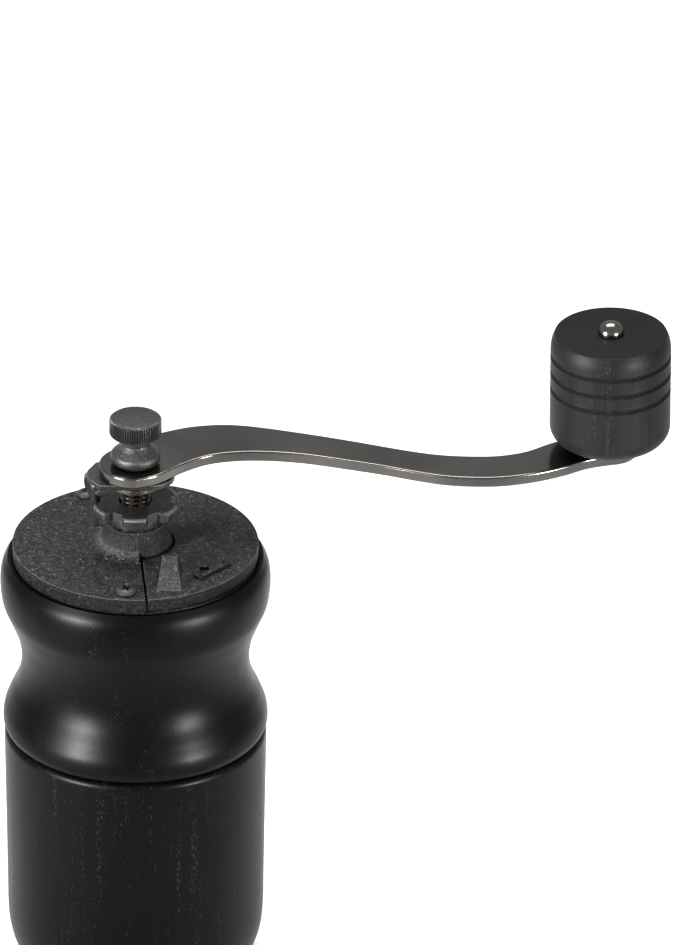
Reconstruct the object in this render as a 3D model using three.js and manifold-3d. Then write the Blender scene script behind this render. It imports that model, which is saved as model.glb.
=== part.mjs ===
// Hand crank coffee grinder, in millimetres, +Z up.
// The origin is the centre of the cup's underside, on the spindle axis.
// The front is -Y, the crank points to +X, and the model stands assembled, ready to grind.
import * as THREE from 'three';
import { mergeVertices } from 'three/addons/utils/BufferGeometryUtils.js';
import Module from 'manifold-3d';

const wasm = await Module();
wasm.setup();

// ---------------------------------------------------------------- driving dimensions

const GAP = 0.3;                 // between neighbouring pieces
const ROUND_SEGMENTS = 44;       // large turned pieces
const SMALL_SEGMENTS = 28;       // hardware

// Wooden cup (lower part) and wooden body (upper part)
const CUP_HEIGHT = 74.7;
const CUP_FOOT_RADIUS = 26.3;
const CUP_FLOOR = 8;
const CUP_BORE_RADIUS = 28.2;
const CUP_SOCKET_RADIUS = 30.2;  // takes the body's spigot
const SPIGOT_DEPTH = 12;
const BODY_TOP = 125.8;
const BODY_BORE_RADIUS = 26;
const RECESS_RADIUS = 32.9;      // seats the hopper's rim
const RECESS_FLOOR = 121;

// Cast hopper with its rim and burr seat
const DISC_TOP = 130;            // top face of the cover and the lid
const DISC_RADIUS = 32.85;
const RIM_RADIUS = 32.6;
const RIM_BOTTOM = RECESS_FLOOR + GAP;
const RIM_TOP = 125.6;
const HOPPER_RADIUS = 23.4;
const HOPPER_SKIRT_RADIUS = 25.6;
const HOUSING_RADIUS = 22.6;
const HOUSING_BOTTOM = 76.5;
const BURR_SEAT_RADIUS = 18.3;
const BURR_SEAT_TOP = 96.3;

// Boss on the fixed cover, which carries the spindle
const BOSS_HEIGHT = 6.4;
const BOSS_TOP_RADIUS = 7.65;
const BOSS_BASE_RADIUS = 9.9;
const BOSS_SLEEVE_RADIUS = 9;
const BOSS_SLEEVE_BOTTOM = 119;
const BUSH_RADIUS = 6;
const BUSH_TOP = 133;

// Lid and its pivot
const LID_THICKNESS = 3.5;
const SPLIT_GAP = 0.5;
const PIVOT = new THREE.Vector2(-4, 25);
const EAR_RADIUS = 5.2;
const EAR_TOP = 131.7;
const PIVOT_SCREW_RADIUS = 1.5;
const TAB_X = 9.3;               // middle of the thumb tab
const TAB_WIDTH = 6.4;
const TAB_HEIGHT = 4.3;
const TAB_TAPER = 0.07;          // share of the width lost in each millimetre of height

// Two screws hold the cover and the hopper's rim down on the wood
const COVER_SCREWS = [
  new THREE.Vector2(-13.4, 25.6),
  new THREE.Vector2(-2.2, -28.9),
];

// Spindle, burrs and lower bridge
const SPINDLE_RADIUS = 4;        // M8
const SPINDLE_TOP = 158.3;
const SHOULDER_Z = 147.3;
const TIP_RADIUS = 3.3;
const TIP_FLATS = 5.3;           // across the two flats
const JOURNAL_RADIUS = 3;
const SPINDLE_BOTTOM = 71.5;
const BURR_TOP = 99.5;
const BURR_BOTTOM = 82;
const BRIDGE_BOTTOM = 73.2;
const BRIDGE_THICKNESS = 3;
const BRIDGE_LENGTH = 44;
const BRIDGE_WIDTH = 10;
const BRIDGE_SCREW_X = 20.5;
const SPRING_TURNS = 6.5;
const SPRING_RADIUS = 6;
const SPRING_WIRE = 0.6;
const SPRING_WASHER = 0.8;
const SPRING_WASHER_RADIUS = 7.4;

// Stack clamped on the spindle
const RING_THICKNESS = 2.7;
const RING_PIT_RADIUS = 0.85;
const RING_PIT_CENTRE = 5.8;     // from the axis
const NUT_THICKNESS = 3;
const NUT_BODY_RADIUS = 9.4;
const NUT_TAB_RADIUS = 12.1;
const NUT_TAB_WIDTH = 6.7;
const WASHER_RADIUS = 7;
const WASHER_THICKNESS = 1.1;
const LOCK_THICKNESS = 1.5;
const CRANK_THICKNESS = 3;
const CRANK_HUB_RADIUS = 9.7;
const KNOB_CENTRE = new THREE.Vector2(126.3, 12.6);
const KNOB_RADIUS = 16.15;
const KNOB_TOP_RADIUS = 14.9;    // of its flat top face
const KNOB_HEIGHT = 31.8;
const KNOB_FOOT_ROUND = 5;
const KNOB_GROOVES = [15.6, 10.9, 6];  // below the top
const KNOB_GROOVE_DEPTH = 0.75;
const KNOB_END_RADIUS = 7.5;     // of the crank's end under the knob
const KNOB_PIN_RADIUS = 2.5;
const PIN_HEAD_RADIUS = 3.45;
const PIN_HEAD_HEIGHT = 3.1;
const KNOB_WASHER_THICKNESS = 0.6;
const THUMB_NUT_HEIGHT = 13.5;
const THUMB_NUT_RADIUS = 7;
const LOCK_HALF_WIDTH = 7.1;
const LOCK_HOLE_OFFSET = 3.4;    // from the hole to the centre of the round end
const FINGER_WIDTH = 2.8;
const FINGER_LENGTH = 14.2;      // below the plate

// Heights worked out from the burrs and from the boss upwards
const BOSS_TOP = DISC_TOP + BOSS_HEIGHT;
const SPRING_SEAT = BURR_TOP + GAP;
const UPPER_SEAT_Z = BOSS_SLEEVE_BOTTOM - GAP - SPRING_WASHER;
const RING_Z = BOSS_TOP + GAP;
const NUT_Z = RING_Z + RING_THICKNESS + GAP;
const WASHER_Z = SHOULDER_Z + GAP;
const LOCK_Z = WASHER_Z + WASHER_THICKNESS + GAP;
const CRANK_Z = LOCK_Z + LOCK_THICKNESS + GAP;
const CRANK_TOP = CRANK_Z + CRANK_THICKNESS;
const KNOB_WASHER_Z = CRANK_TOP + GAP;
const KNOB_Z = KNOB_WASHER_Z + KNOB_WASHER_THICKNESS + GAP;
const THUMB_NUT_Z = CRANK_TOP + GAP;

// ---------------------------------------------------------------- materials

function finish(color, roughness, metalness) {
  return new THREE.MeshStandardMaterial({ color, roughness, metalness });
}

const stainedWood = () => finish(0x141312, 0.5, 0);
const blackCasting = () => finish(0x1b1b1c, 0.75, 0.3);
const blackSteel = () => finish(0x2c2d2f, 0.5, 0.9);
const burrSteel = () => finish(0x55565a, 0.45, 0.9);
const polishedNickel = () => finish(0x5d5956, 0.18, 1);
const threadSteel = () => finish(0x5a4a44, 0.35, 1);
const bronze = () => finish(0x8a6a3c, 0.4, 1);

// ---------------------------------------------------------------- solid helpers

// A closed indexed geometry: shared vertices merged, no flat triangles, faces pointing out.
function closed(geometry) {
  const bare = geometry.clone();
  bare.deleteAttribute('normal');
  bare.deleteAttribute('uv');
  const merged = mergeVertices(bare, 1e-4);
  const index = merged.index.array;
  const kept = [];
  for (let i = 0; i < index.length; i += 3) {
    const [a, b, c] = [index[i], index[i + 1], index[i + 2]];
    if (a !== b && b !== c && c !== a) {
      kept.push(a, b, c);
    }
  }
  if (signedVolume(merged.attributes.position, kept) < 0) {
    kept.reverse();
  }
  merged.setIndex(kept);
  return merged;
}

function signedVolume(position, index) {
  const [a, b, c] = [new THREE.Vector3(), new THREE.Vector3(), new THREE.Vector3()];
  let sum = 0;
  for (let i = 0; i < index.length; i += 3) {
    a.fromBufferAttribute(position, index[i]);
    b.fromBufferAttribute(position, index[i + 1]);
    c.fromBufferAttribute(position, index[i + 2]);
    sum += a.dot(b.cross(c));
  }
  return sum;
}

function solid(geometry) {
  const source = closed(geometry);
  return new wasm.Manifold(new wasm.Mesh({
    numProp: 3,
    vertProperties: new Float32Array(source.attributes.position.array),
    triVerts: new Uint32Array(source.index.array),
  }));
}

function toGeometry(manifold) {
  const mesh = manifold.getMesh();
  const geometry = new THREE.BufferGeometry();
  geometry.setAttribute('position', new THREE.BufferAttribute(mesh.vertProperties, 3));
  geometry.setIndex(new THREE.BufferAttribute(mesh.triVerts, 1));
  return geometry;
}

// A solid of revolution about Z from a closed profile of (radius, height) points.
function turned(points, segments = SMALL_SEGMENTS) {
  const loop = [...points];
  if (points[0].distanceTo(points[points.length - 1]) > 1e-6 && points[0].x > 0) {
    loop.push(points[0].clone());
  }
  return new THREE.LatheGeometry(loop, segments).rotateX(Math.PI / 2);
}

function profile(...pairs) {
  return pairs.map(([r, z]) => new THREE.Vector2(r, z));
}

// A plate of the given outline, from height z up. The edge is rounded where bevel is above 0.
function plate(shape, z, thickness, bevel = 0, curveSegments = 12) {
  const geometry = new THREE.ExtrudeGeometry(shape, {
    depth: thickness - 2 * bevel,
    bevelEnabled: bevel > 0,
    bevelThickness: bevel,
    bevelSize: bevel,
    bevelOffset: -bevel,
    bevelSegments: 2,
    curveSegments,
  });
  return geometry.translate(0, 0, z + bevel);
}

function rod(radius, bottom, top, centre = new THREE.Vector2(), segments = SMALL_SEGMENTS) {
  const geometry = new THREE.CylinderGeometry(radius, radius, top - bottom, segments);
  return geometry.rotateX(Math.PI / 2).translate(centre.x, centre.y, (top + bottom) / 2);
}

// Points on an arc in the (radius, height) plane, angles in degrees.
function arc(centreR, centreZ, radiusR, radiusZ, from, to, steps) {
  const points = [];
  for (let i = 0; i <= steps; i += 1) {
    const angle = THREE.MathUtils.degToRad(from + (to - from) * i / steps);
    points.push(new THREE.Vector2(
      centreR + radiusR * Math.cos(angle),
      centreZ + radiusZ * Math.sin(angle),
    ));
  }
  return points;
}

// A hole with two flats: a circle cut off at y = +-acrossFlats / 2.
function doubleD(radius, acrossFlats, Kind = THREE.Path) {
  const half = Math.asin(acrossFlats / 2 / radius);
  const path = new Kind();
  path.absarc(0, 0, radius, -half, half, false);
  path.absarc(0, 0, radius, Math.PI - half, Math.PI + half, false);
  path.closePath();
  return path;
}

function named(name, geometry, material) {
  const mesh = new THREE.Mesh(geometry, material);
  mesh.name = name;
  return mesh;
}

// ---------------------------------------------------------------- wooden cup and body

function cup() {
  const outer = profile(
    [0, 0],
    [CUP_FOOT_RADIUS, 0],
    [27.3, 1.1],
    [29.6, 4.6],
    [31.4, 8.2],
    [33, 12],
    [33.9, 16],
    [34.3, 21],
    [34.4, 30],
    [34.65, 45],
    [35, 65],
    [35.1, 73.2],
    [34.8, 74.2],
    [34.1, CUP_HEIGHT],
    [CUP_SOCKET_RADIUS, CUP_HEIGHT],
  );
  const socketFloor = CUP_HEIGHT - SPIGOT_DEPTH;
  const inner = [
    ...profile([CUP_SOCKET_RADIUS, socketFloor], [CUP_BORE_RADIUS, socketFloor]),
    ...arc(CUP_BORE_RADIUS - 6, CUP_FLOOR + 6, 6, 6, 0, -90, 4),
    ...profile([0, CUP_FLOOR]),
  ];
  return named('cup', closed(turned([...outer, ...inner], ROUND_SEGMENTS)), stainedWood());
}

// The body's outside: a bulge above the seam, a waist, and a round shoulder up to the ledge.
function bodyOutline() {
  const curve = new THREE.SplineCurve(profile(
    [34.5, CUP_HEIGHT + GAP],
    [35.4, 77.6],
    [35, 81],
    [33.6, 84.5],
    [31.6, 89],
    [30.55, 93.5],
    [30.55, 98],
    [31.6, 103.3],
    [33.7, 108.7],
    [35.4, 112.8],
    [36.1, 117],
    [36.05, 120.6],
    [35.5, 123.4],
    [34.2, BODY_TOP],
  ));
  return curve.getPoints(22);
}

function body() {
  const spigotBottom = CUP_HEIGHT - SPIGOT_DEPTH + GAP;
  const spigotRadius = CUP_SOCKET_RADIUS - GAP - 0.1;
  const points = [
    ...bodyOutline(),
    ...profile([RECESS_RADIUS, BODY_TOP], [RECESS_RADIUS, RECESS_FLOOR]),
    ...profile([BODY_BORE_RADIUS, RECESS_FLOOR], [BODY_BORE_RADIUS, spigotBottom]),
    ...profile([spigotRadius, spigotBottom], [spigotRadius, CUP_HEIGHT + GAP]),
  ];
  let shell = solid(turned(points, ROUND_SEGMENTS));
  for (const centre of COVER_SCREWS) {
    shell = shell.subtract(solid(rod(1.75, 107.5, RECESS_FLOOR + 1, centre, 16)));
  }
  return named('body', toGeometry(shell), stainedWood());
}

// ---------------------------------------------------------------- hopper, cover and lid

function hopper() {
  const points = profile(
    [HOUSING_RADIUS, HOUSING_BOTTOM],
    [HOUSING_RADIUS, 100],
    [HOPPER_SKIRT_RADIUS, 110],
    [HOPPER_SKIRT_RADIUS, RIM_BOTTOM],
    [RIM_RADIUS, RIM_BOTTOM],
    [RIM_RADIUS, RIM_TOP],
    [HOPPER_RADIUS + 0.8, RIM_TOP],
    [HOPPER_RADIUS, RIM_TOP - 1.2],
    [HOPPER_RADIUS, 111],
    [15.2, 99],
    [15.2, BURR_SEAT_TOP],
    [BURR_SEAT_RADIUS, BURR_SEAT_TOP],
    [BURR_SEAT_RADIUS, HOUSING_BOTTOM],
  );
  let casting = solid(turned(points, ROUND_SEGMENTS));
  casting = casting.add(solid(rod(4.6, RIM_BOTTOM, RIM_TOP, PIVOT, 24)));
  casting = casting.subtract(solid(rod(1.9, RIM_BOTTOM + 0.2, RIM_TOP + 1, PIVOT, 16)));
  for (const centre of COVER_SCREWS) {
    casting = casting.subtract(solid(rod(1.8, RIM_BOTTOM - 1, RIM_TOP + 1, centre, 16)));
  }
  for (const x of [-BRIDGE_SCREW_X, BRIDGE_SCREW_X]) {
    const centre = new THREE.Vector2(x, 0);
    casting = casting.subtract(solid(rod(1.6, HOUSING_BOTTOM - 1, 84.5, centre, 16)));
  }
  return named('hopper', toGeometry(casting), blackCasting());
}

// The cover is the left half of the disc, with the whole boss and a notch round the lid's ear.
function coverShape() {
  const notch = EAR_RADIUS + SPLIT_GAP;
  const deg = THREE.MathUtils.degToRad;
  const shape = new THREE.Shape();
  shape.absarc(0, 0, DISC_RADIUS, deg(-84.6), deg(-250.5), true);
  shape.lineTo(-10, 30.1);
  shape.absarc(PIVOT.x, PIVOT.y, notch, deg(168), deg(312), false);
  shape.absarc(0, 0, BOSS_BASE_RADIUS, deg(76), deg(-82), true);
  shape.closePath();
  return shape;
}

function fixedCover() {
  const bottom = RIM_TOP + GAP;
  const sleeve = profile(
    [0, BOSS_SLEEVE_BOTTOM],
    [BOSS_SLEEVE_RADIUS, BOSS_SLEEVE_BOTTOM],
    [BOSS_SLEEVE_RADIUS, bottom + 1],
    [BOSS_BASE_RADIUS, bottom + 1],
    [BOSS_BASE_RADIUS, DISC_TOP],
    [BOSS_TOP_RADIUS + 0.9, DISC_TOP + 3.6],
    [BOSS_TOP_RADIUS, BOSS_TOP - 0.6],
    [BOSS_TOP_RADIUS - 0.6, BOSS_TOP],
    [0, BOSS_TOP],
  );
  const bore = profile(
    [0, BOSS_SLEEVE_BOTTOM - 1],
    [BUSH_RADIUS + GAP, BOSS_SLEEVE_BOTTOM - 1],
    [BUSH_RADIUS + GAP, BUSH_TOP + GAP],
    [SPINDLE_RADIUS + 0.6, BUSH_TOP + GAP],
    [SPINDLE_RADIUS + 0.6, BOSS_TOP + 1],
    [0, BOSS_TOP + 1],
  );
  let cover = solid(plate(coverShape(), bottom, DISC_TOP - bottom, 0, 14));
  cover = cover.add(solid(turned(sleeve, SMALL_SEGMENTS)));
  cover = cover.subtract(solid(turned(bore, SMALL_SEGMENTS)));
  for (const centre of COVER_SCREWS) {
    cover = cover.subtract(solid(rod(1.8, bottom - 1, DISC_TOP + 1, centre, 16)));
  }
  return named('fixed_cover', toGeometry(cover), blackCasting());
}

// The lid is the right part of the disc: it clears the boss and ends in the pivot's ear.
function lidShape() {
  const deg = THREE.MathUtils.degToRad;
  const shape = new THREE.Shape();
  shape.absarc(0, 0, DISC_RADIUS, deg(-83.7), deg(87.2), false);
  shape.absarc(PIVOT.x, PIVOT.y, EAR_RADIUS, deg(62), deg(322), false);
  shape.absarc(0, 0, BOSS_BASE_RADIUS + SPLIT_GAP, deg(73.5), deg(-79), true);
  shape.closePath();
  return shape;
}

// The thumb tab: upright towards the boss, sloping down to the rim.
function thumbTab() {
  const side = new THREE.Shape();
  side.moveTo(-15.2, -1);
  side.lineTo(-15.2, TAB_HEIGHT);
  side.lineTo(-18.5, TAB_HEIGHT);
  side.lineTo(-27.3, 0.3);
  side.lineTo(-27.3, -1);
  side.closePath();
  const geometry = new THREE.ExtrudeGeometry(side, { depth: TAB_WIDTH, bevelEnabled: false });
  // The outline's x is the lid's y, its y is the height, and the depth runs along x.
  geometry.applyMatrix4(new THREE.Matrix4().makeBasis(
    new THREE.Vector3(0, 1, 0),
    new THREE.Vector3(0, 0, 1),
    new THREE.Vector3(1, 0, 0),
  ));
  geometry.translate(-TAB_WIDTH / 2, 0, 0);
  const position = geometry.attributes.position;
  for (let i = 0; i < position.count; i += 1) {
    const taper = 1 - TAB_TAPER * Math.max(0, position.getZ(i));
    position.setX(i, position.getX(i) * taper);
  }
  return geometry.translate(TAB_X, 0, DISC_TOP);
}

function lid() {
  const bottom = DISC_TOP - LID_THICKNESS;
  let leaf = solid(plate(lidShape(), bottom, LID_THICKNESS, 0, 14));
  leaf = leaf.add(solid(rod(EAR_RADIUS, RIM_TOP + GAP, EAR_TOP, PIVOT, 28)));
  leaf = leaf.add(solid(thumbTab()));
  leaf = leaf.subtract(solid(rod(1.85, RIM_TOP, EAR_TOP + 1, PIVOT, 16)));
  return named('lid', toGeometry(leaf), blackCasting());
}

function lidPivotWasher() {
  const z = EAR_TOP + GAP;
  const ring = turned(profile([1.85, z], [2.6, z], [2.6, z + 1], [1.85, z + 1]), 20);
  ring.translate(PIVOT.x, PIVOT.y, 0);
  return named('lid_pivot_washer', closed(ring), blackSteel());
}

function lidPivotScrew() {
  const seat = EAR_TOP + GAP + 1 + GAP;
  const points = [
    ...profile([0, RIM_BOTTOM + 0.5], [PIVOT_SCREW_RADIUS, RIM_BOTTOM + 0.5]),
    ...profile([PIVOT_SCREW_RADIUS, seat], [2.7, seat], [2.85, seat + 1]),
    ...arc(0, seat + 1, 2.85, 2, 20, 90, 4),
  ];
  let screw = solid(turned(points, 24));
  const slot = new THREE.BoxGeometry(0.9, 8, 2.4).translate(0, 0, seat + 3);
  screw = screw.subtract(solid(slot));
  const geometry = toGeometry(screw).translate(PIVOT.x, PIVOT.y, 0);
  return named('lid_pivot_screw', geometry, threadSteel());
}

function coverScrew(name, centre) {
  const seat = DISC_TOP + GAP;
  const points = profile(
    [0, 108],
    [0.6, 108.6],
    [1.4, 110.5],
    [1.4, seat],
    [2.7, seat],
    [2.7, seat + 0.5],
    [1.9, seat + 1.1],
    [0, seat + 1.3],
  );
  let screw = solid(turned(points, 24));
  for (const turn of [0, Math.PI / 2]) {
    const slot = new THREE.BoxGeometry(2.6, 0.6, 1.6).translate(0, 0, seat + 1.3);
    screw = screw.subtract(solid(slot.rotateZ(turn + Math.PI / 6)));
  }
  const geometry = toGeometry(screw).translate(centre.x, centre.y, 0);
  return named(name, geometry, blackSteel());
}

// ---------------------------------------------------------------- burrs, bridge and spindle

function outerBurr() {
  const top = BURR_SEAT_TOP - GAP;
  const points = profile(
    [BURR_SEAT_RADIUS - GAP, BURR_BOTTOM],
    [BURR_SEAT_RADIUS - GAP, top],
    [14.6, top],
    [13.1, 90],
    [15.2, BURR_BOTTOM],
  );
  return named('outer_burr', closed(turned(points, 36)), burrSteel());
}

function innerBurr() {
  const bore = JOURNAL_RADIUS + GAP;
  const points = profile(
    [bore, BURR_BOTTOM],
    [14.4, BURR_BOTTOM],
    [12, 90],
    [8.4, 96],
    [7.4, BURR_TOP],
    [bore, BURR_TOP],
  );
  return named('inner_burr', closed(turned(points, 36)), burrSteel());
}

// Hexagon nut that holds the inner burr on the spindle.
function burrNut() {
  const bottom = 78.2;
  const height = 3.5;
  const acrossCorners = 11.6;
  const shape = new THREE.Shape();
  for (let corner = 0; corner < 6; corner += 1) {
    const angle = corner * Math.PI / 3;
    const point = new THREE.Vector2(Math.cos(angle), Math.sin(angle));
    point.multiplyScalar(acrossCorners / 2);
    if (corner === 0) {
      shape.moveTo(point.x, point.y);
    } else {
      shape.lineTo(point.x, point.y);
    }
  }
  shape.closePath();
  let nut = solid(plate(shape, bottom, height));
  nut = nut.subtract(solid(rod(JOURNAL_RADIUS + GAP, bottom - 1, bottom + height + 1)));
  return named('burr_nut', toGeometry(nut), blackSteel());
}

function lowerBridge() {
  const shape = new THREE.Shape();
  const half = BRIDGE_LENGTH / 2 - BRIDGE_WIDTH / 2;
  shape.absarc(half, 0, BRIDGE_WIDTH / 2, -Math.PI / 2, Math.PI / 2, false);
  shape.absarc(-half, 0, BRIDGE_WIDTH / 2, Math.PI / 2, 3 * Math.PI / 2, false);
  shape.closePath();
  const top = BRIDGE_BOTTOM + BRIDGE_THICKNESS;
  let strap = solid(plate(shape, BRIDGE_BOTTOM, BRIDGE_THICKNESS, 0, 8));
  strap = strap.subtract(solid(rod(JOURNAL_RADIUS + 0.35, BRIDGE_BOTTOM - 1, top + 1)));
  for (const x of [-BRIDGE_SCREW_X, BRIDGE_SCREW_X]) {
    const centre = new THREE.Vector2(x, 0);
    strap = strap.subtract(solid(rod(1.6, BRIDGE_BOTTOM - 1, top + 1, centre, 16)));
  }
  return named('lower_bridge', toGeometry(strap), blackSteel());
}

function bridgeScrew(name, x) {
  const seat = BRIDGE_BOTTOM - GAP;
  const points = profile(
    [0, seat - 1.6],
    [1.8, seat - 1.3],
    [2.5, seat - 0.6],
    [2.5, seat],
    [1.25, seat],
    [1.25, 83.5],
    [0, 84],
  );
  const geometry = closed(turned(points, 20)).translate(x, 0, 0);
  return named(name, geometry, blackSteel());
}

function spindleBush() {
  const bottom = BOSS_SLEEVE_BOTTOM + GAP;
  const inner = SPINDLE_RADIUS + GAP + 0.05;
  const points = profile(
    [inner, bottom],
    [BUSH_RADIUS, bottom],
    [BUSH_RADIUS, BUSH_TOP],
    [inner, BUSH_TOP],
  );
  return named('spindle_bush', closed(turned(points)), bronze());
}

function spindle() {
  const step = BURR_TOP + GAP;
  const points = profile(
    [0, SPINDLE_BOTTOM],
    [JOURNAL_RADIUS - 0.4, SPINDLE_BOTTOM],
    [JOURNAL_RADIUS, SPINDLE_BOTTOM + 0.5],
    [JOURNAL_RADIUS, step],
    [SPINDLE_RADIUS, step],
    [SPINDLE_RADIUS, SHOULDER_Z - 0.6],
    [SPINDLE_RADIUS - 0.5, SHOULDER_Z],
    [TIP_RADIUS, SHOULDER_Z],
    [TIP_RADIUS, SPINDLE_TOP - 0.6],
    [TIP_RADIUS - 0.6, SPINDLE_TOP],
    [0, SPINDLE_TOP],
  );
  let shaft = solid(turned(points, 32));
  const height = SPINDLE_TOP - SHOULDER_Z;
  for (const side of [-1, 1]) {
    const flat = new THREE.BoxGeometry(10, 4, height + 1);
    flat.translate(0, side * (TIP_FLATS / 2 + 2), SHOULDER_Z + height / 2 + 0.5);
    shaft = shaft.subtract(solid(flat));
  }
  return named('spindle', toGeometry(shaft), threadSteel());
}

function springSeat(name, z) {
  const inner = SPINDLE_RADIUS + GAP + 0.05;
  const points = profile(
    [inner, z],
    [SPRING_WASHER_RADIUS, z],
    [SPRING_WASHER_RADIUS, z + SPRING_WASHER],
    [inner, z + SPRING_WASHER],
  );
  return named(name, closed(turned(points)), blackSteel());
}

// Compression spring: closed coils at each end, open ones between.
class SpringPath extends THREE.Curve {
  getPoint(t) {
    const low = SPRING_SEAT + SPRING_WASHER + GAP + SPRING_WIRE;
    const high = UPPER_SEAT_Z - GAP - SPRING_WIRE;
    const ease = THREE.MathUtils.smoothstep(t, 0.08, 0.92);
    const angle = 2 * Math.PI * SPRING_TURNS * t;
    const climb = 0.5 * (t + ease) * (high - low);
    const point = new THREE.Vector3(Math.cos(angle), Math.sin(angle), 0);
    return point.multiplyScalar(SPRING_RADIUS).setZ(low + climb);
  }
}

function spring() {
  const section = new THREE.Shape();
  section.absarc(0, 0, SPRING_WIRE, 0, 2 * Math.PI, false);
  const geometry = new THREE.ExtrudeGeometry(section, {
    steps: 91,
    curveSegments: 3,
    bevelEnabled: false,
    extrudePath: new SpringPath(),
  });
  return named('spring', closed(geometry), blackSteel());
}

// ---------------------------------------------------------------- stack on the spindle

function thrustRing() {
  const inner = SPINDLE_RADIUS + 0.35;
  const outer = 7.05;
  const top = RING_Z + RING_THICKNESS;
  const points = profile(
    [inner, RING_Z],
    [outer - 0.3, RING_Z],
    [outer, RING_Z + 0.3],
    [outer, top - 0.3],
    [outer - 0.3, top],
    [inner, top],
  );
  let ring = solid(turned(points));
  for (const degrees of [90, 210, 330]) {
    const angle = THREE.MathUtils.degToRad(degrees);
    const centre = new THREE.Vector2(Math.cos(angle), Math.sin(angle));
    centre.multiplyScalar(RING_PIT_CENTRE);
    ring = ring.subtract(solid(rod(RING_PIT_RADIUS, top - 0.8, top + 1, centre, 12)));
  }
  return named('thrust_ring', toGeometry(ring), blackSteel());
}

// The star nut that sets the grind: six tabs, and a notch between each two.
function adjustingNut() {
  const inner = Math.asin(NUT_TAB_WIDTH / 2 / NUT_BODY_RADIUS);
  const outer = Math.asin(NUT_TAB_WIDTH / 2 / NUT_TAB_RADIUS);
  const shape = new THREE.Shape();
  for (let tab = 0; tab < 6; tab += 1) {
    const middle = (tab + 0.5) * Math.PI / 3;
    const next = middle + Math.PI / 3;
    shape.absarc(0, 0, NUT_TAB_RADIUS, middle - outer, middle + outer, false);
    shape.absarc(0, 0, NUT_BODY_RADIUS, middle + inner, next - inner, false);
  }
  shape.closePath();
  let nut = solid(plate(shape, NUT_Z, NUT_THICKNESS, 0, 3));
  nut = nut.subtract(solid(rod(SPINDLE_RADIUS + 0.35, NUT_Z - 1, NUT_Z + NUT_THICKNESS + 1)));
  return named('adjusting_nut', toGeometry(nut), blackSteel());
}

function washer() {
  const top = WASHER_Z + WASHER_THICKNESS;
  const points = profile(
    [TIP_RADIUS + GAP, WASHER_Z],
    [WASHER_RADIUS, WASHER_Z],
    [WASHER_RADIUS, top],
    [TIP_RADIUS + GAP, top],
  );
  return named('washer', closed(turned(points)), blackSteel());
}

// Lock plate: keyed to the spindle's flats, with a finger bent down into the star nut's notch.
function lockPlate() {
  const shape = new THREE.Shape();
  shape.absarc(LOCK_HOLE_OFFSET, 0, LOCK_HALF_WIDTH, -Math.PI / 2, Math.PI / 2, false);
  shape.lineTo(-9.2, LOCK_HALF_WIDTH);
  shape.lineTo(-10.8, 6.2);
  shape.lineTo(-13, 1.6);
  shape.lineTo(-13, -3.2);
  shape.lineTo(-9.6, -LOCK_HALF_WIDTH);
  shape.closePath();
  shape.holes.push(doubleD(TIP_RADIUS + 0.35, TIP_FLATS + 2 * GAP));
  const side = new THREE.Shape();
  side.moveTo(-12, LOCK_Z + LOCK_THICKNESS);
  side.quadraticCurveTo(-13.8, LOCK_Z + LOCK_THICKNESS, -13.75, LOCK_Z - 0.8);
  side.lineTo(-11.75, LOCK_Z - 6.8);
  side.lineTo(-11, LOCK_Z - FINGER_LENGTH);
  side.lineTo(-9.5, LOCK_Z - FINGER_LENGTH);
  side.lineTo(-10.2, LOCK_Z - 6.6);
  side.lineTo(-12, LOCK_Z - 0.4);
  side.closePath();
  const finger = new THREE.ExtrudeGeometry(side, { depth: FINGER_WIDTH, bevelEnabled: false });
  finger.rotateX(Math.PI / 2).translate(0, FINGER_WIDTH / 2, 0);
  const lock = solid(plate(shape, LOCK_Z, LOCK_THICKNESS, 0, 10)).add(solid(finger));
  return named('lock_plate', toGeometry(lock), blackSteel());
}

// The crank's outline: an S between the hub and the knob's end.
function crankShape() {
  const rear = new THREE.SplineCurve(profile(
    [-5.4, 8.1],
    [3, 15],
    [9.3, 18.6],
    [15.6, 21],
    [23.3, 22],
    [31.5, 21],
    [44.1, 17.5],
    [56.8, 13.4],
    [72.6, 7.8],
    [82.1, 5.4],
    [91.6, 4.8],
    [98, 5.5],
    [104.3, 7.9],
    [111, 12.8],
    [119, 17.2],
  ));
  const front = new THREE.SplineCurve(profile(
    [0, -CRANK_HUB_RADIUS],
    [6.1, -6.9],
    [12.5, -0.6],
    [18.8, 3.9],
    [25.1, 5.9],
    [31.7, 6.5],
    [39.6, 6],
    [47.3, 4.5],
    [56.8, 1.7],
    [66.3, -1.3],
    [75.8, -4.8],
    [83.1, -6.9],
    [91.6, -7.6],
    [99.2, -6.9],
    [107.4, -4.4],
    [114.5, -0.9],
    [120.5, 2.9],
    [127, 5.1],
  ));
  const outline = [...front.getPoints(34), ...rear.getPoints(32).reverse()];
  return new THREE.Shape(outline);
}

function crankArm() {
  const round = (centre, radius) => {
    const shape = new THREE.Shape();
    shape.absarc(centre.x, centre.y, radius, 0, 2 * Math.PI, false);
    return plate(shape, CRANK_Z, CRANK_THICKNESS, 0, 18);
  };
  const hub = new THREE.Vector2();
  let arm = solid(plate(crankShape(), CRANK_Z, CRANK_THICKNESS, 0));
  arm = arm.add(solid(round(hub, CRANK_HUB_RADIUS)));
  arm = arm.add(solid(round(KNOB_CENTRE, KNOB_END_RADIUS)));
  const key = doubleD(TIP_RADIUS + GAP, TIP_FLATS + 2 * GAP, THREE.Shape);
  const keyhole = plate(key, CRANK_Z - 1, CRANK_THICKNESS + 2, 0, 10);
  arm = arm.subtract(solid(keyhole));
  const pinHole = rod(KNOB_PIN_RADIUS + GAP, CRANK_Z - 1, CRANK_TOP + 1, KNOB_CENTRE, 24);
  arm = arm.subtract(solid(pinHole));
  return named('crank_arm', toGeometry(arm), polishedNickel());
}

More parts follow.
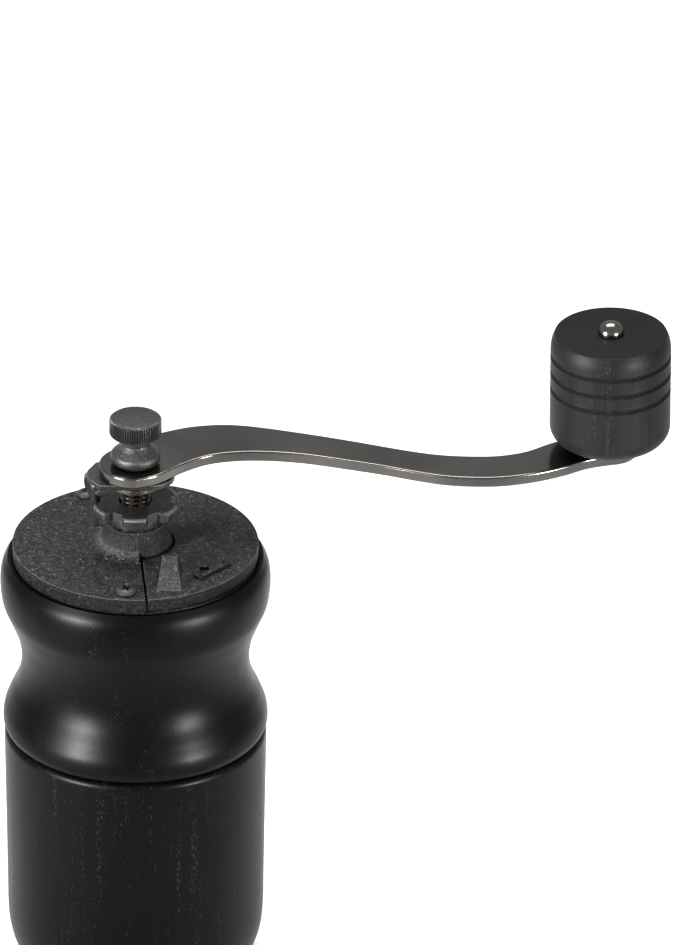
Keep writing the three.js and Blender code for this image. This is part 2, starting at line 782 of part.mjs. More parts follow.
// Riveted pin: a flat foot under the arm and a domed head on the knob's top.
function knobPin() {
  const seat = KNOB_Z + KNOB_HEIGHT + GAP;
  const flange = 0.5;
  const dome = PIN_HEAD_HEIGHT - flange;
  const points = [
    ...profile([0, CRANK_Z - 1.3], [3.4, CRANK_Z - 1.3], [4, CRANK_Z - 0.8]),
    ...profile([4, CRANK_Z - GAP], [KNOB_PIN_RADIUS, CRANK_Z - GAP]),
    ...profile([KNOB_PIN_RADIUS, seat], [PIN_HEAD_RADIUS, seat]),
    ...arc(0, seat + flange, PIN_HEAD_RADIUS, dome, 0, 90, 6),
  ];
  const geometry = closed(turned(points, 20)).translate(KNOB_CENTRE.x, KNOB_CENTRE.y, 0);
  return named('knob_pin', geometry, polishedNickel());
}

function knobWasher() {
  const z = KNOB_WASHER_Z;
  const top = z + KNOB_WASHER_THICKNESS;
  const ring = turned(profile([2.85, z], [5.5, z], [5.5, top], [2.85, top]), 28);
  ring.translate(KNOB_CENTRE.x, KNOB_CENTRE.y, 0);
  return named('knob_washer', closed(ring), blackSteel());
}

function knob() {
  const bore = KNOB_PIN_RADIUS + GAP + 0.05;
  const top = KNOB_Z + KNOB_HEIGHT;
  const round = KNOB_FOOT_ROUND;
  const groove = (depth) => profile(
    [KNOB_RADIUS, top - depth - KNOB_GROOVE_DEPTH],
    [KNOB_RADIUS - KNOB_GROOVE_DEPTH, top - depth],
    [KNOB_RADIUS, top - depth + KNOB_GROOVE_DEPTH],
  );
  const points = [
    ...profile([bore, KNOB_Z], [KNOB_RADIUS - round, KNOB_Z]),
    ...arc(KNOB_RADIUS - round, KNOB_Z + round, round, round, -70, 0, 4),
    ...KNOB_GROOVES.flatMap(groove),
    ...profile([KNOB_RADIUS - 0.2, top - 3], [KNOB_RADIUS - 0.7, top - 1.2]),
    ...profile([KNOB_TOP_RADIUS, top], [bore, top]),
  ];
  const geometry = closed(turned(points, 36)).translate(KNOB_CENTRE.x, KNOB_CENTRE.y, 0);
  return named('knob', geometry, stainedWood());
}

function thumbNut() {
  const z = THUMB_NUT_Z;
  const bore = TIP_RADIUS + 0.35;
  const cap = SPINDLE_TOP + 0.6;
  const top = z + THUMB_NUT_HEIGHT;
  const points = [
    ...profile([bore, z], [5.6, z]),
    ...arc(4.6, z + 2.1, 2.1, 2.1, -60, 70, 5),
    ...profile([4.4, z + 4.6], [3.9, z + 6.2], [4.2, z + 8.2]),
    ...profile([6.6, z + 8.5], [THUMB_NUT_RADIUS, z + 8.9], [THUMB_NUT_RADIUS, top - 0.7]),
    ...profile([6.6, top - 0.35], [3.2, top], [0, top], [0, cap], [bore, cap]),
  ];
  return named('thumb_nut', closed(turned([...points, points[0].clone()], 28)), blackSteel());
}

// ---------------------------------------------------------------- the grinder

const grinder = new THREE.Group();
grinder.name = 'coffee_grinder';
grinder.add(cup());
grinder.add(body());
grinder.add(hopper());
grinder.add(fixedCover());
grinder.add(coverScrew('cover_screw_rear', COVER_SCREWS[0]));
grinder.add(coverScrew('cover_screw_front', COVER_SCREWS[1]));
grinder.add(spindleBush());
grinder.add(lid());
grinder.add(lidPivotWasher());
grinder.add(lidPivotScrew());
grinder.add(outerBurr());
grinder.add(innerBurr());
grinder.add(burrNut());
grinder.add(lowerBridge());
grinder.add(bridgeScrew('bridge_screw_left', -BRIDGE_SCREW_X));
grinder.add(bridgeScrew('bridge_screw_right', BRIDGE_SCREW_X));
grinder.add(spindle());
grinder.add(springSeat('spring_lower_seat', SPRING_SEAT));
grinder.add(springSeat('spring_upper_seat', UPPER_SEAT_Z));
grinder.add(spring());
grinder.add(thrustRing());
grinder.add(adjustingNut());
grinder.add(washer());
grinder.add(lockPlate());
grinder.add(crankArm());
grinder.add(knobPin());
grinder.add(knobWasher());
grinder.add(knob());
grinder.add(thumbNut());

export default grinder;
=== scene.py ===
"""Hand crank coffee grinder: the visible model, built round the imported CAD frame."""
import math

import bmesh
import bpy
from mathutils import Matrix, Vector


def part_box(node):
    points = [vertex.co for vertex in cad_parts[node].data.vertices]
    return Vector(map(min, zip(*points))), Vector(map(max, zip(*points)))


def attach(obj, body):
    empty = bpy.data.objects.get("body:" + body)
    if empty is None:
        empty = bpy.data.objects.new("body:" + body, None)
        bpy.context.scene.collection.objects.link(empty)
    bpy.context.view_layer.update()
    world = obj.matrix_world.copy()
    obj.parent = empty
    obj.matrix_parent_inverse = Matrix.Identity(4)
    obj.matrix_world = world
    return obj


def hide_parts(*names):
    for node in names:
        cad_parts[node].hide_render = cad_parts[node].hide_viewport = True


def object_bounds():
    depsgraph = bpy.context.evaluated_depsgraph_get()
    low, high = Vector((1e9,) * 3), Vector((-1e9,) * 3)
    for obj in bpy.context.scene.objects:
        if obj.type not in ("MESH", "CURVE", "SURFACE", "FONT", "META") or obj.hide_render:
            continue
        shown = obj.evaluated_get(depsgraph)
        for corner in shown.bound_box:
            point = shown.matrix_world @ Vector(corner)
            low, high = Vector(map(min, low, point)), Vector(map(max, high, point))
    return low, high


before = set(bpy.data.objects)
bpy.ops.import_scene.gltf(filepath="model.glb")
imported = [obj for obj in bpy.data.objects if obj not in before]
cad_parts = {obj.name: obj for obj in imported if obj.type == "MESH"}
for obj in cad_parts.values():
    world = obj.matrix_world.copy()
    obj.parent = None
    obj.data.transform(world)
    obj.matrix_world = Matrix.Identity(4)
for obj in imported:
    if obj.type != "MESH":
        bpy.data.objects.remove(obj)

CAD_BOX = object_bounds()
MM = 0.001
TAU = 2 * math.pi


# ------------------------------------------------------------------ places taken from the frame

class Span:
    """Where a CAD node lies: centre, radius (half its width) and lowest and highest z, in millimetres."""

    def __init__(self, node):
        lo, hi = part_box(node)
        lo, hi = lo / MM, hi / MM
        self.x, self.y = (lo.x + hi.x) / 2, (lo.y + hi.y) / 2
        self.r = (hi.x - lo.x) / 2
        self.z0, self.z1 = lo.z, hi.z


CUP = Span("cup")
BODY = Span("body")
HOPPER = Span("hopper")
COVER = Span("fixed_cover")
SPINDLE = Span("spindle")
RING = Span("thrust_ring")
NUT = Span("adjusting_nut")
WASHER = Span("washer")
LOCK = Span("lock_plate")
CRANK = Span("crank_arm")
KNOB = Span("knob")
PIN = Span("knob_pin")
THUMB = Span("thumb_nut")
PIVOT = Span("lid_pivot_washer")
PIVOT_SCREW = Span("lid_pivot_screw")
DISC_TOP = 130.0                 # top of the cover's and lid's plates
PLATE_BOTTOM = 125.9             # underside of the cover's plate
DISC_RADIUS = 32.85
BOSS_TOP = COVER.z1
SHOULDER = 147.3                 # where the spindle steps down to its threaded end
THREAD_RADIUS = 4.0              # of the spindle's thread below the shoulder
TIP_RADIUS = 3.3                 # and above it
TIP_FLAT = 2.65                  # from the axis to each of the tip's two flats
SPIGOT_LENGTH = 12.0             # how far the body reaches into the cup's socket
LID_THICKNESS = 3.5
EAR_RADIUS = 5.2                 # of the lid's ear round its pivot
NOTCH_RADIUS = 5.7               # of the cover's notch round that ear
SPINDLE_HOLE = 4.6               # radius of the boss's and cover's hole
KEY_WIDTH = 5.9                  # across the flats of the holes in the lock plate and the crank


# ------------------------------------------------------------------ camera, floor and lights

def look_from(location, target, roll=0.0):
    """A matrix that puts a camera or a lamp at location, looking at target."""
    turn = (Vector(target) - Vector(location)).to_track_quat("-Z", "Y").to_matrix().to_4x4()
    return Matrix.Translation(location) @ turn @ Matrix.Rotation(roll, 4, "Z")


def make_camera():
    """A long lens from the front and above, with the spindle left of the middle."""
    elevation = math.radians(28.2)
    roll = math.radians(0.3)
    distance = 5.0
    view_height = 0.252          # metres seen from top to bottom at the disc
    right_of_axis = 0.0543
    above_disc = 0.0186
    up = Vector((0, math.sin(elevation), math.cos(elevation)))
    away = Vector((0, math.cos(elevation), -math.sin(elevation)))
    aim = Vector((right_of_axis, 0, DISC_TOP * MM)) + up * above_disc
    data = bpy.data.cameras.new("camera")
    data.sensor_width = 36
    data.lens = data.sensor_width * distance / view_height
    data.clip_start, data.clip_end = 0.1, 60
    camera = bpy.data.objects.new("camera", data)
    camera.matrix_world = look_from(aim - away * distance, aim, roll)
    bpy.context.scene.collection.objects.link(camera)
    bpy.context.scene.camera = camera


def make_floor():
    half = 30
    clearance = 0.0002           # under the cup, so that the two don't flicker
    corners = [(-half, -half, 0), (half, -half, 0), (half, half, 0), (-half, half, 0)]
    mesh = bpy.data.meshes.new("floor")
    mesh.from_pydata(corners, [], [(0, 1, 2, 3)])
    floor = bpy.data.objects.new("floor", mesh)
    bpy.context.scene.collection.objects.link(floor)
    floor.location.z = CAD_BOX[0].z - clearance
    paint = Paint("pale_floor", (0.86, 0.86, 0.86), 0.7, 0)
    paint.shader.inputs["Specular IOR Level"].default_value = 0.1
    floor.data.materials.append(paint.material)


def make_light(name, location, target, size, power, spread):
    """A rectangular softbox: size in metres, power in watts, spread in degrees."""
    data = bpy.data.lights.new(name, "AREA")
    data.shape = "RECTANGLE"
    data.size, data.size_y = size
    data.energy = power
    data.spread = math.radians(spread)
    lamp = bpy.data.objects.new(name, data)
    lamp.matrix_world = look_from(location, target)
    lamp.visible_camera = False
    bpy.context.scene.collection.objects.link(lamp)


def make_lights():
    """Two low softboxes in front, and a wide one high behind that keeps the floor bright."""
    scene = bpy.context.scene
    scene.view_settings.view_transform = "Standard"
    world = bpy.data.worlds.new("studio")
    world.use_nodes = True
    sky = world.node_tree.nodes["Background"].inputs
    sky["Color"].default_value = (0.97, 0.98, 1.0, 1)
    sky["Strength"].default_value = 0.42
    scene.world = world
    middle = Vector((0.02, 0, 0.16))
    left = middle + Vector((-0.64, -0.53, 0.1))
    right = middle + Vector((0.65, -0.55, 0.0))
    make_light("left_softbox", left, middle, (0.3, 0.3), 1.9, 40)
    make_light("right_softbox", right, middle, (0.22, 0.24), 0.85, 40)
    make_light("rear_softbox", (0.05, 0.36, 0.9), (0.05, 0.33, 0), (0.6, 0.36), 3.9, 110)


# ------------------------------------------------------------------ materials

class Paint:
    """A Principled material and short ways to add nodes to it."""

    def __init__(self, name, color, roughness, metallic):
        self.material = bpy.data.materials.new(name)
        self.material.use_nodes = True
        self.tree = self.material.node_tree
        self.shader = self.tree.nodes["Principled BSDF"]
        self.shader.inputs["Base Color"].default_value = (*color, 1)
        self.shader.inputs["Roughness"].default_value = roughness
        self.shader.inputs["Metallic"].default_value = metallic
        place = self.node("ShaderNodeTexCoord")
        self.position = place.outputs["Object"]
        self.normal = place.outputs["Normal"]
        self.bumps = None

    def node(self, kind, **settings):
        made = self.tree.nodes.new(kind)
        for key, value in settings.items():
            setattr(made, key, value)
        return made

    def wire(self, source, target):
        if isinstance(source, (int, float, tuple)):
            target.default_value = source
        else:
            self.tree.links.new(source, target)

    def stretched(self, x, y, z):
        """The position scaled along each axis, in cells per metre."""
        scale = self.node("ShaderNodeMapping")
        scale.inputs["Scale"].default_value = (x, y, z)
        self.wire(self.position, scale.inputs["Vector"])
        return scale.outputs["Vector"]

    def noise(self, vector, scale=1.0, detail=3.0, rough=0.5, distortion=0.0):
        made = self.node("ShaderNodeTexNoise")
        self.wire(vector, made.inputs["Vector"])
        made.inputs["Scale"].default_value = scale
        made.inputs["Detail"].default_value = detail
        made.inputs["Roughness"].default_value = rough
        made.inputs["Distortion"].default_value = distortion
        return made.outputs["Fac"]

    def voronoi(self, vector, scale=1.0):
        made = self.node("ShaderNodeTexVoronoi", feature="F1")
        self.wire(vector, made.inputs["Vector"])
        made.inputs["Scale"].default_value = scale
        return made.outputs["Distance"]

    def remap(self, value, low, high, to_low=0.0, to_high=1.0):
        made = self.node("ShaderNodeMapRange")
        made.inputs["From Min"].default_value = low
        made.inputs["From Max"].default_value = high
        made.inputs["To Min"].default_value = to_low
        made.inputs["To Max"].default_value = to_high
        self.wire(value, made.inputs["Value"])
        return made.outputs["Result"]

    def math(self, operation, a, b=0.0):
        made = self.node("ShaderNodeMath", operation=operation)
        self.wire(a, made.inputs[0])
        self.wire(b, made.inputs[1])
        return made.outputs[0]

    def mix_color(self, factor, a, b):
        made = self.node("ShaderNodeMix", data_type="RGBA")
        self.wire(factor, made.inputs["Factor"])
        self.wire((*a, 1) if isinstance(a, tuple) else a, made.inputs[6])
        self.wire((*b, 1) if isinstance(b, tuple) else b, made.inputs[7])
        return made.outputs[2]

    def color(self, source):
        self.wire(source, self.shader.inputs["Base Color"])

    def roughness(self, source):
        self.wire(source, self.shader.inputs["Roughness"])

    def slope(self):
        """How far the surface faces up: 1 on top, 0 on a wall, -1 underneath."""
        axes = self.node("ShaderNodeSeparateXYZ")
        self.wire(self.normal, axes.inputs["Vector"])
        return axes.outputs["Z"]

    def edge(self):
        """1 on the rounded upper edges, 0 on flat tops and walls."""
        up = self.slope()
        return self.math("MULTIPLY", self.remap(up, 0.25, 0.5), self.remap(up, 0.97, 0.85))

    def bump(self, height, depth_mm, strength=1.0):
        """Adds relief: height 0 to 1 is depth_mm deep."""
        made = self.node("ShaderNodeBump")
        made.inputs["Strength"].default_value = strength
        made.inputs["Distance"].default_value = depth_mm * MM
        self.wire(height, made.inputs["Height"])
        if self.bumps is not None:
            self.wire(self.bumps, made.inputs["Normal"])
        self.bumps = made.outputs["Normal"]
        self.wire(self.bumps, self.shader.inputs["Normal"])


def wood_paint(name, pore_share, level=0.08, lift=1.0, rough=0.3):
    """Black stained open-pored wood under a satin lacquer, its grain along Z.

    level is its specular level, and lift makes the stain that many times lighter.
    """
    paint = Paint(name, (0.003, 0.003, 0.003), 0.34, 0)
    paint.shader.inputs["Specular IOR Level"].default_value = level

    def grain(across, lengthwise):
        return paint.stretched(across, across, lengthwise)

    cells = paint.voronoi(grain(3000, 620))
    rows = paint.noise(grain(520, 16), detail=3, rough=0.6)
    limit = paint.remap(rows, 0.44, 0.72, 0.0, pore_share)
    pore = paint.math("LESS_THAN", cells, limit)
    fibre = paint.noise(grain(2600, 60), detail=4, rough=0.6)
    cloud = paint.noise(grain(70, 18), detail=3)
    dark = (0.0005 * lift,) * 3
    light = (0.0013 * lift, 0.0012 * lift, 0.0012 * lift)
    dust = (0.02, 0.0195, 0.0185)
    half_cloud = paint.math("MULTIPLY", cloud, 0.5)
    half_fibre = paint.remap(fibre, 0.4, 0.6, 0, 0.5)
    tone = paint.mix_color(paint.math("ADD", half_cloud, half_fibre), dark, light)
    paint.color(paint.mix_color(paint.math("MULTIPLY", pore, 0.6), tone, dust))
    satin = paint.remap(cloud, 0.3, 0.7, rough, rough + 0.08)
    paint.roughness(paint.math("ADD", satin, paint.math("MULTIPLY", pore, 0.25)))
    paint.bump(paint.math("SUBTRACT", 1.0, pore), 0.1, 0.8)
    paint.bump(fibre, 0.03, 0.8)
    return paint.material


def casting_paint():
    """Black wrinkle coat over a rough casting, with fine pale specks painted in as glints, painted shade
    on its walls and a painted highlight along its upper edges.
    """
    paint = Paint("black_casting", (0.012, 0.012, 0.0125), 0.4, 0)
    grit = paint.noise(paint.position, 2000, detail=3, rough=0.65)
    lumps = paint.noise(paint.position, 1150, detail=4, rough=0.7, distortion=0.5)
    # painted glints: fine specks painted pale stand for the sparkle of the coat
    specks = paint.voronoi(paint.position, 1450)
    spread = paint.remap(paint.noise(paint.position, 600, 1), 0.38, 0.7, 0.0, 0.42)
    painted_glint = paint.math("LESS_THAN", specks, spread)
    relief = paint.remap(lumps, 0.42, 0.62)
    base = paint.mix_color(relief, (0.003, 0.003, 0.003), (0.038, 0.038, 0.039))
    coat = paint.mix_color(painted_glint, base, (0.13, 0.13, 0.133))
    # painted shade: walls and steep slopes are darkened towards near black, flat tops keep their tone
    painted_wall_shade = paint.remap(paint.slope(), 0.72, 0.99, 0.8, 0.0)
    level = paint.remap(paint.slope(), 0.5, 0.95, 0.1, 0.2)
    paint.wire(level, paint.shader.inputs["Specular IOR Level"])
    # painted highlight: the rounded upper edges are painted pale, in patches
    painted_edge_highlight = paint.math("MULTIPLY", paint.edge(), paint.remap(grit, 0.35, 0.6, 0.1, 0.75))
    shaded = paint.mix_color(painted_wall_shade, coat, (0.002, 0.002, 0.002))
    paint.color(paint.mix_color(painted_edge_highlight, shaded, (0.09, 0.09, 0.092)))
    paint.roughness(paint.remap(grit, 0.3, 0.7, 0.55, 0.36))
    paint.bump(lumps, 0.8, 1.0)
    paint.bump(grit, 0.4, 1.0)
    return paint.material


def black_steel_paint(
    name="black_oxide_steel", color=(0.034, 0.0333, 0.0325), roughness=0.36, metallic=0.6, edge_highlight_strength=1.0,
):
    """Black oxide steel: satin, finely mottled, with light scratches, painted shade on its walls and a
    painted highlight along its upper edges.
    """
    paint = Paint(name, color, roughness, metallic)
    mottle = paint.noise(paint.position, 2100, detail=4, rough=0.7)
    cloud = paint.noise(paint.position, 240, detail=3)
    scratch = paint.noise(paint.stretched(300, 5200, 5200), detail=2, rough=0.7)
    dark, light = (tuple(k * c for c in color) for k in (0.35, 2.1))
    tone = paint.mix_color(paint.remap(mottle, 0.38, 0.66), dark, light)
    line = paint.math("MULTIPLY", paint.remap(scratch, 0.66, 0.74), 0.5)
    tone = paint.mix_color(line, tone, tuple(5 * c for c in color))
    # painted shade: walls and undersides are darkened towards near black, tops keep their tone
    painted_wall_shade = paint.remap(paint.slope(), 0.1, 0.6, 0.55, 0.0)
    # painted highlight: the rounded upper edges are painted pale, in patches, scaled by the function's
    # last argument
    patchy = paint.remap(mottle, 0.4, 0.6, 0.15 * edge_highlight_strength, 0.6 * edge_highlight_strength)
    painted_edge_highlight = paint.math("MULTIPLY", paint.edge(), patchy)
    shaded = paint.mix_color(painted_wall_shade, tone, (0.002, 0.002, 0.002))
    paint.color(paint.mix_color(painted_edge_highlight, shaded, tuple(7 * c for c in color)))
    paint.roughness(paint.remap(cloud, 0.3, 0.7, roughness - 0.07, roughness + 0.08))
    paint.bump(mottle, 0.14, 0.8)
    return paint.material


def nickel_paint():
    """Polished black nickel with the faint lines and haze of handling."""
    paint = Paint("black_nickel", (0.23, 0.22, 0.2), 0.18, 1)
    haze = paint.noise(paint.position, 28, detail=3, rough=0.5)
    lines = paint.noise(paint.stretched(140, 5200, 5200), detail=2, rough=0.7)
    paint.color(paint.mix_color(paint.remap(haze, 0.3, 0.7), (0.13, 0.123, 0.114), (0.2, 0.19, 0.175)))
    polish = paint.remap(haze, 0.3, 0.7, 0.14, 0.22)
    rubbed = paint.remap(lines, 0.6, 0.8, 0.0, 0.08)
    paint.roughness(paint.math("ADD", polish, rubbed))
    paint.bump(lines, 0.002, 0.4)
    return paint.material


def thread_paint():
    """Bare steel, brown where oil and oxide sit, with painted shade that turns it nearly black at the
    bottom of the threads.

    The depth of a point is measured inward from the thread's crest, or from the tip's flats.
    """
    paint = Paint("thread_steel", (0.12, 0.1, 0.09), 0.3, 1)
    patches = paint.noise(paint.position, 420, detail=4, rough=0.6)
    lines = paint.noise(paint.stretched(5200, 5200, 600), detail=3, rough=0.7)
    oily, bare, groove_shade_color = (0.06, 0.045, 0.039), (0.15, 0.137, 0.13), (0.008, 0.006, 0.005)
    tone = paint.mix_color(paint.remap(patches, 0.35, 0.65), oily, bare)
    axes = paint.node("ShaderNodeSeparateXYZ")
    paint.wire(paint.position, axes.inputs["Vector"])
    x, y, z = axes.outputs
    squares = paint.math("MULTIPLY", x, x), paint.math("MULTIPLY", y, y)
    radius = paint.math("SQRT", paint.math("ADD", *squares))
    step = (SHOULDER - 0.1) * MM, (SHOULDER + 0.1) * MM
    crest = paint.remap(z, *step, THREAD_RADIUS * MM, TIP_RADIUS * MM)
    flat = paint.remap(z, *step, THREAD_RADIUS * MM, TIP_FLAT * MM)
    flat_crest = paint.math("DIVIDE", paint.math("MULTIPLY", flat, radius), paint.math("ABSOLUTE", y))
    depth = paint.math("SUBTRACT", paint.math("MINIMUM", crest, flat_crest), radius)
    # painted shade: the colour darkens towards nearly black the deeper a point lies below the crest
    groove_shade = paint.remap(depth, 0.2 * MM, 0.65 * MM, 0.0, 0.9)
    near = paint.math("LESS_THAN", radius, (THREAD_RADIUS + 0.5) * MM)
    paint.color(paint.mix_color(paint.math("MULTIPLY", groove_shade, near), tone, groove_shade_color))
    paint.roughness(paint.remap(lines, 0.3, 0.7, 0.2, 0.4))
    paint.bump(lines, 0.03, 0.7)
    return paint.material


def burr_paint():
    paint = Paint("burr_steel", (0.23, 0.23, 0.24), 0.38, 1)
    patches = paint.noise(paint.position, 300, detail=4)
    grind = paint.noise(paint.stretched(900, 900, 5000), detail=3)
    paint.color(paint.mix_color(patches, (0.15, 0.15, 0.155), (0.32, 0.32, 0.33)))
    paint.roughness(paint.remap(grind, 0.3, 0.7, 0.3, 0.48))
    paint.bump(grind, 0.01, 0.5)
    return paint.material


def bronze_paint():
    paint = Paint("sintered_bronze", (0.45, 0.28, 0.13), 0.42, 1)
    grains = paint.voronoi(paint.position, 3500)
    lit = paint.remap(grains, 0.1, 0.6)
    paint.color(paint.mix_color(lit, (0.3, 0.18, 0.08), (0.5, 0.32, 0.15)))
    paint.roughness(paint.remap(grains, 0.0, 0.6, 0.36, 0.55))
    paint.bump(grains, 0.03, 0.5)
    return paint.material


# ------------------------------------------------------------------ mesh helpers

def finished(mesh, name, material, body, nodes, sharp=35):
    """Turns a mesh into a piece that rides on a body, in place of its CAD nodes."""
    mesh.materials.clear()
    mesh.materials.append(material)
    mesh.polygons.foreach_set("use_smooth", [True] * len(mesh.polygons))
    mesh.set_sharp_from_angle(angle=math.radians(sharp))
    mesh.name = name
    piece = bpy.data.objects.new(name, mesh)
    bpy.context.scene.collection.objects.link(piece)
    shading = piece.modifiers.new("shading", "WEIGHTED_NORMAL")
    shading.keep_sharp = True
    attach(piece, body)
    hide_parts(*nodes)
    return piece


def tidied(mesh, reach):
    """The mesh with points nearer than reach (metres) joined, and its faces turned outward."""
    work = bmesh.new()
    work.from_mesh(mesh)
    bmesh.ops.remove_doubles(work, verts=work.verts, dist=reach)
    bmesh.ops.recalc_face_normals(work, faces=work.faces)
    work.to_mesh(mesh)
    work.free()
    return mesh


def mesh_from(vertices, faces):
    """A mesh in metres from vertices in millimetres, its faces turned to point outward."""
    mesh = bpy.data.meshes.new("mesh")
    mesh.from_pydata([(x * MM, y * MM, z * MM) for x, y, z in vertices], [], faces)
    return tidied(mesh, 1e-7)


def fillet(points, radius, steps=4, closed=False):
    """The same outline with each corner rounded.

    A corner may carry its own radius as a third number.
    """
    count = len(points)
    result = []
    for i, point in enumerate(points):
        own = point[2] if len(point) > 2 else radius
        here = Vector(point[:2])
        if (not closed and i in (0, count - 1)) or own <= 0:
            result.append((here.x, here.y))
            continue
        before = Vector(points[i - 1][:2]) - here
        after = Vector(points[(i + 1) % count][:2]) - here
        angle = before.angle(after)
        if angle > math.radians(176):
            result.append((here.x, here.y))
            continue
        reach = min(own / math.tan(angle / 2), 0.49 * before.length, 0.49 * after.length)
        start = here + before.normalized() * reach
        end = here + after.normalized() * reach
        for step in range(steps + 1):
            t = step / steps
            bend = start * (1 - t) ** 2 + here * 2 * t * (1 - t) + end * t * t
            result.append((bend.x, bend.y))
    return result


def smooth_curve(points, per_span=8):
    """A Catmull-Rom curve through the points."""
    result = []
    for i in range(len(points) - 1):
        p0 = Vector(points[max(i - 1, 0)])
        p1, p2 = Vector(points[i]), Vector(points[i + 1])
        p3 = Vector(points[min(i + 2, len(points) - 1)])
        for step in range(per_span):
            t = step / per_span
            here = 0.5 * (2 * p1 + (p2 - p0) * t + (2 * p0 - 5 * p1 + 4 * p2 - p3) * t * t
                          + (3 * p1 - p0 - 3 * p2 + p3) * t ** 3)
            result.append(tuple(here))
    result.append(tuple(points[-1]))
    return result


def turned(profile, segments=96, centre=(0, 0), ring=False, radius_at=None):
    """A turned solid from (radius, height) points. ring closes the profile on itself.

    radius_at(radius, height, angle) may change the radius, for a knurl.
    """
    rows = []
    vertices = []
    for r, z in profile:
        if r < 1e-6:
            rows.append([len(vertices)] * segments)
            vertices.append((centre[0], centre[1], z))
            continue
        row = []
        for i in range(segments):
            angle = TAU * i / segments
            here = radius_at(r, z, angle) if radius_at else r
            x, y = centre[0] + here * math.cos(angle), centre[1] + here * math.sin(angle)
            row.append(len(vertices))
            vertices.append((x, y, z))
        rows.append(row)
    pairs = list(zip(rows, rows[1:]))
    if ring:
        pairs.append((rows[-1], rows[0]))
    faces = []
    for low, high in pairs:
        for i in range(segments):
            j = (i + 1) % segments
            face = [low[i], low[j], high[j], high[i]]
            face = [v for k, v in enumerate(face) if v != face[k - 1]]
            if len(set(face)) > 2:
                faces.append(face)
    return mesh_from(vertices, faces)


def circle(radius, centre=(0, 0), steps=48, start=0.0, end=360.0):
    """Points on a circle or an arc, angles in degrees."""
    full = abs(end - start) >= 360
    count = steps if full else steps + 1
    points = []
    for i in range(count):
        angle = math.radians(start + (end - start) * i / steps)
        points.append((centre[0] + radius * math.cos(angle), centre[1] + radius * math.sin(angle)))
    return points


def spot(radius, angle):
    """The point at that angle, in degrees, on a circle round the spindle's axis."""
    return circle(radius, steps=1, start=angle, end=angle + 1)[0]


def double_d(radius, across, steps=10):
    """A round hole with two flats along X."""
    half = math.degrees(math.asin(across / 2 / radius))
    right = circle(radius, steps=steps, start=-half, end=half)
    left = circle(radius, steps=steps, start=180 - half, end=180 + half)
    return right + left


def plate(outlines, z0, z1, edge=0.2, steps=2):
    """A flat plate with rounded edges. The first outline is the outside and the rest are holes."""
    curve = bpy.data.curves.new("outline", "CURVE")
    curve.dimensions = "2D"
    curve.fill_mode = "BOTH"
    for outline in outlines:
        spline = curve.splines.new("POLY")
        spline.points.add(len(outline) - 1)
        for point, (x, y) in zip(spline.points, outline):
            point.co = (x * MM, y * MM, 0, 1)
        spline.use_cyclic_u = True
    curve.extrude = ((z1 - z0) / 2 - edge) * MM
    curve.bevel_depth = edge * MM
    curve.bevel_resolution = steps
    curve.offset = -edge * MM
    holder = bpy.data.objects.new("outline", curve)
    bpy.context.scene.collection.objects.link(holder)
    mesh = evaluated(holder)
    mesh.transform(Matrix.Translation((0, 0, (z0 + z1) / 2 * MM)))
    return tidied(mesh, 2e-6)


def joined(*meshes):
    """One mesh that holds all of these."""
    work = bmesh.new()
    for mesh in meshes:
        work.from_mesh(mesh)
    result = bpy.data.meshes.new("joined")
    work.to_mesh(result)
    work.free()
    return result


def evaluated(holder):
    """The object's mesh after its modifiers or its curve settings. The object is then removed."""
    bpy.context.view_layer.update()
    depsgraph = bpy.context.evaluated_depsgraph_get()
    mesh = bpy.data.meshes.new_from_object(holder.evaluated_get(depsgraph))
    bpy.data.objects.remove(holder)
    return mesh


def with_modifiers(mesh, *settings):
    """The mesh after these modifiers: each is (kind, {setting: value})."""
    holder = bpy.data.objects.new("work", mesh)
    bpy.context.scene.collection.objects.link(holder)
    for number, (kind, values) in enumerate(settings):
        modifier = holder.modifiers.new(f"{kind}_{number}", kind)
        for key, value in values.items():
            setattr(modifier, key, value)
    return evaluated(holder)


def combined(operation, mesh, others):
    """The mesh after an exact boolean with each of the other solids in turn."""
    for other in others:
        holder = bpy.data.objects.new("other", other)
        bpy.context.scene.collection.objects.link(holder)
        settings = {"operation": operation, "solver": "EXACT", "object": holder}
        mesh = with_modifiers(mesh, ("BOOLEAN", settings))
        bpy.data.objects.remove(holder)
    return mesh


def cut(mesh, *tools):
    """The mesh with the tools' solids taken away."""
    return combined("DIFFERENCE", mesh, tools)


def union(mesh, *others):
    """One solid of them all, with its edges kept crisp."""
    return combined("UNION", mesh, others)


def cast(*meshes, voxel):
    """Overlapping solids fused into one, with the soft edges of a casting."""
    return with_modifiers(
        joined(*meshes),
        ("REMESH", {"mode": "VOXEL", "voxel_size": voxel * MM, "adaptivity": 0.0}),
        ("SMOOTH", {"factor": 0.5, "iterations": 2}),
    )


def block(x0, x1, y0, y1, z0, z1):
    corners = [(x, y, z) for z in (z0, z1) for y in (y0, y1) for x in (x0, x1)]
    faces = [(0, 1, 3, 2), (4, 5, 7, 6), (0, 1, 5, 4), (2, 3, 7, 6), (0, 2, 6, 4), (1, 3, 7, 5)]
    return mesh_from(corners, faces)


def moved(mesh, x=0.0, y=0.0, turn=0.0):
    """The mesh turned about Z by so many degrees, then moved sideways, in millimetres."""
    spin = Matrix.Rotation(math.radians(turn), 4, "Z")
    mesh.transform(Matrix.Translation((x * MM, y * MM, 0)) @ spin)
    return mesh


